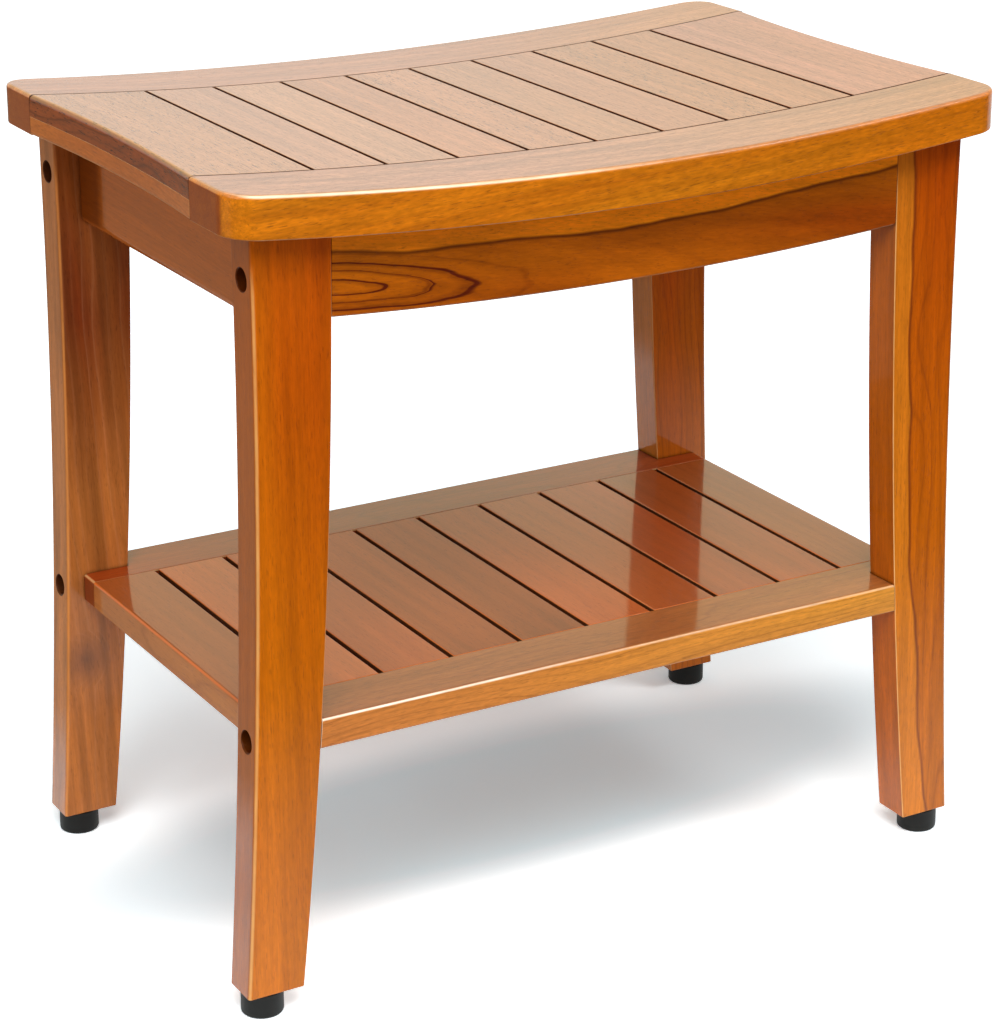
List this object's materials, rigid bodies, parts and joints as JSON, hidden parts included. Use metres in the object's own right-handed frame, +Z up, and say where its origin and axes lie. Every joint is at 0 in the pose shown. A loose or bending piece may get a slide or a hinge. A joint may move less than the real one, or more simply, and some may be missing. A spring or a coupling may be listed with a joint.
{
  "type": "shower bench",
  "caption": "Teak shower bench: dished slatted seat on curved legs and aprons, slatted shelf below, levelling feet that screw out.",
  "frame": {"origin": "on the floor under the middle of the seat", "axes": "+X along the seat's length to its right-hand end, +Y from front to back, +Z up"},
  "size_m": [0.49, 0.326, 0.4725],
  "materials": {
    "teak_rail": "gloss varnished teak, golden orange",
    "teak_slat": "gloss varnished teak, warm tan",
    "teak_frame": "gloss varnished teak, red-brown",
    "black_steel": "black oxide socket-head bolts",
    "zinc_steel": "zinc plated steel",
    "beech_dowel": "raw fluted beech",
    "brass": "turned brass bush",
    "black_foot": "matte black rubber"
  },
  "bodies": {
    "bench": {"seat_front_rail": "teak_rail", "seat_back_rail": "teak_rail", "seat_slat_01": "teak_slat", "seat_slat_02": "teak_slat", "seat_slat_03": "teak_slat", "seat_slat_04": "teak_slat", "seat_slat_05": "teak_slat", "seat_slat_06": "teak_slat", "seat_slat_07": "teak_slat", "seat_slat_08": "teak_slat", "seat_slat_09": "teak_slat", "seat_slat_10": "teak_slat", "seat_batten_left": "teak_frame", "seat_batten_right": "teak_frame", "leg_front_left": "teak_frame", "leg_back_left": "teak_frame", "leg_front_right": "teak_frame", "leg_back_right": "teak_frame", "front_apron": "teak_frame", "back_apron": "teak_frame", "side_apron_left": "teak_frame", "side_apron_right": "teak_frame", "shelf_front_rail": "teak_rail", "shelf_back_rail": "teak_rail", "shelf_slat_01": "teak_slat", "shelf_slat_02": "teak_slat", "shelf_slat_03": "teak_slat", "shelf_slat_04": "teak_slat", "shelf_slat_05": "teak_slat", "shelf_slat_06": "teak_slat", "shelf_slat_07": "teak_slat", "shelf_slat_08": "teak_slat", "shelf_slat_09": "teak_slat", "shelf_slat_10": "teak_slat", "apron_bolts": "black_steel", "shelf_bolts": "black_steel", "apron_barrel_nuts": "zinc_steel", "shelf_barrel_nuts": "zinc_steel", "apron_dowels": "beech_dowel", "side_apron_dowels": "beech_dowel", "side_apron_screws": "zinc_steel", "long_apron_screws": "zinc_steel", "foot_inserts": "brass"},
    "foot_front_left": {"foot_pad_front_left": "black_foot", "foot_stud_front_left": "zinc_steel"},
    "foot_back_left": {"foot_pad_back_left": "black_foot", "foot_stud_back_left": "zinc_steel"},
    "foot_front_right": {"foot_pad_front_right": "black_foot", "foot_stud_front_right": "zinc_steel"},
    "foot_back_right": {"foot_pad_back_right": "black_foot", "foot_stud_back_right": "zinc_steel"}
  },
  "joints": [
    {"name": "foot_front_left_screw", "type": "slide", "parent": "bench", "child": "foot_front_left", "axis": [0, 0, -1], "range_m": [0, 0.006]},
    {"name": "foot_back_left_screw", "type": "slide", "parent": "bench", "child": "foot_back_left", "axis": [0, 0, -1], "range_m": [0, 0.006]},
    {"name": "foot_front_right_screw", "type": "slide", "parent": "bench", "child": "foot_front_right", "axis": [0, 0, -1], "range_m": [0, 0.006]},
    {"name": "foot_back_right_screw", "type": "slide", "parent": "bench", "child": "foot_back_right", "axis": [0, 0, -1], "range_m": [0, 0.006]}
  ]
}
